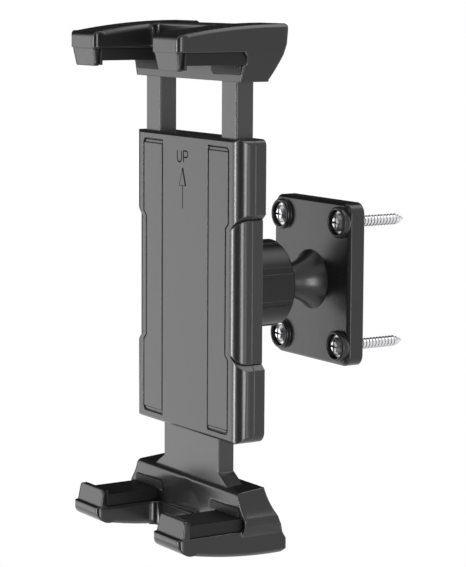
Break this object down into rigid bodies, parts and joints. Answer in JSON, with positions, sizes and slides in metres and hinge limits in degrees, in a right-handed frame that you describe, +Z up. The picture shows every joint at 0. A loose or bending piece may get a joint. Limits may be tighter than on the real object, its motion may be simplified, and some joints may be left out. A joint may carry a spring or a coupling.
{
  "type": "tablet wall mount",
  "caption": "Wall plate with a ball joint and lock nut, carrying a flat housing with two coupled slides whose claws grip a tablet by its upper and lower edges.",
  "frame": {"origin": "on the wall plane, at the centre of the plate's back and of its four screws, on the axis of the ball's stem", "axes": "+Y into the wall, along the screws; +Z up, along the slides; +X to the right of someone facing the wall"},
  "size_m": [0.089, 0.1234, 0.2102],
  "materials": {
    "plate_plastic": "fine-grained moulded plastic",
    "shell_plastic": "satin moulded plastic",
    "cover_plastic": "fine-grained moulded plastic",
    "claw_plastic": "satin moulded plastic",
    "slide_plastic": "satin moulded plastic",
    "nut_plastic": "smooth moulded plastic",
    "inner_plastic": "slippery bearing plastic",
    "strip_rubber": "soft matt rubber",
    "liner_rubber": "soft matt rubber",
    "screw_metal": "bright plated steel",
    "dark_screw": "black zinc",
    "spring_steel": "plain steel"
  },
  "bodies": {
    "wall_side": {"ball_plate": "plate_plastic", "wall_screws": "screw_metal"},
    "cup": {"friction_pad": "inner_plastic"},
    "ring": {"clamp_ring": "inner_plastic"},
    "housing": {"front_shell": "shell_plastic", "rear_cover": "cover_plastic", "cover_screws": "dark_screw", "grip_strip_left": "strip_rubber", "grip_strip_right": "strip_rubber", "gear_pins": "spring_steel", "spring_pins": "spring_steel", "spring_left": "spring_steel", "spring_right": "spring_steel"},
    "nut": {"lock_nut": "nut_plastic"},
    "upper_slide": {"top_post_left": "slide_plastic", "top_post_right": "slide_plastic", "top_head": "claw_plastic", "head_screws": "dark_screw", "top_liner_left": "liner_rubber", "top_liner_right": "liner_rubber", "head_pad_left": "liner_rubber", "head_pad_right": "liner_rubber"},
    "lower_slide": {"bottom_bar": "slide_plastic", "bar_spring_pins": "spring_steel", "bottom_foot": "claw_plastic", "foot_screws": "dark_screw", "bottom_liner_left": "liner_rubber", "bottom_liner_right": "liner_rubber", "foot_pad_left": "liner_rubber", "foot_pad_right": "liner_rubber"},
    "gear_right": {"pinion_right": "inner_plastic"},
    "gear_left": {"pinion_left": "inner_plastic"}
  },
  "joints": [
    {"name": "tilt", "type": "hinge", "parent": "wall_side", "child": "cup", "pos_m": [0, -0.034, 0], "axis": [1, 0, 0], "range_deg": [-15, 15]},
    {"name": "pan", "type": "hinge", "parent": "cup", "child": "ring", "pos_m": [0, -0.034, 0], "axis": [0, 0, 1], "range_deg": [-15, 15]},
    {"name": "roll", "type": "hinge", "parent": "ring", "child": "housing", "pos_m": [0, -0.034, 0], "axis": [0, 1, 0], "continuous": true},
    {"name": "nut_turn", "type": "hinge", "parent": "housing", "child": "nut", "pos_m": [0, -0.034, 0], "axis": [0, 1, 0], "range_deg": [0, 360]},
    {"name": "claws_open", "type": "slide", "parent": "housing", "child": "upper_slide", "axis": [0, 0, 1], "range_m": [-0.014, 0.022]},
    {"name": "lower_claws_open", "type": "slide", "parent": "housing", "child": "lower_slide", "axis": [0, 0, -1], "range_m": [-0.014, 0.022], "deforming": ["spring_left", "spring_right"]},
    {"name": "gear_right_turn", "type": "hinge", "parent": "housing", "child": "gear_right", "pos_m": [0.02215, -0.06315, 0.0024], "axis": [0, 1, 0], "range_deg": [-281, 180]},
    {"name": "gear_left_turn", "type": "hinge", "parent": "housing", "child": "gear_left", "pos_m": [-0.02215, -0.06315, 0.0024], "axis": [0, 1, 0], "range_deg": [-180, 281]}
  ],
  "couplings": [
    {"joint": "lower_claws_open", "follows": "claws_open", "ratio": 1},
    {"joint": "gear_right_turn", "follows": "claws_open", "rad_per_m": -222.22},
    {"joint": "gear_left_turn", "follows": "claws_open", "rad_per_m": 222.22}
  ]
}
